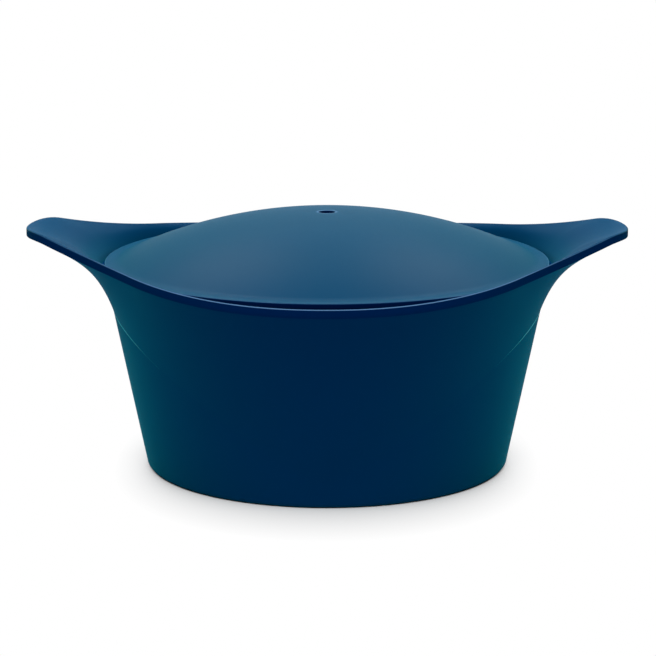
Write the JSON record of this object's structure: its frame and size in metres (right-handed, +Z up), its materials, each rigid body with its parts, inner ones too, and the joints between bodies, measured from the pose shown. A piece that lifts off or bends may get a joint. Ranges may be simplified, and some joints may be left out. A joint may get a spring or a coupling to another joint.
{
  "type": "casserole pot",
  "caption": "Round cast casserole pot whose flared rim grows into wing handles, with a domed lift-off lid with a steam vent and a steel disc in its base.",
  "frame": {"origin": "middle of the underside, on the table", "axes": "+Z up along the pot's axis, X along the handles, the front faces -Y"},
  "size_m": [0.312, 0.246, 0.1323],
  "materials": {
    "blue_coat": "cast aluminium with a satin blue coat",
    "bare_steel": "turned"
  },
  "bodies": {
    "pot": {"pot_body": "blue_coat", "base_disc": "bare_steel"},
    "lid": {"lid": "blue_coat"}
  },
  "joints": [
    {"name": "lid_lift", "type": "slide", "parent": "pot", "child": "lid", "axis": [0, 0, 1], "range_m": [0, 0.12]}
  ]
}
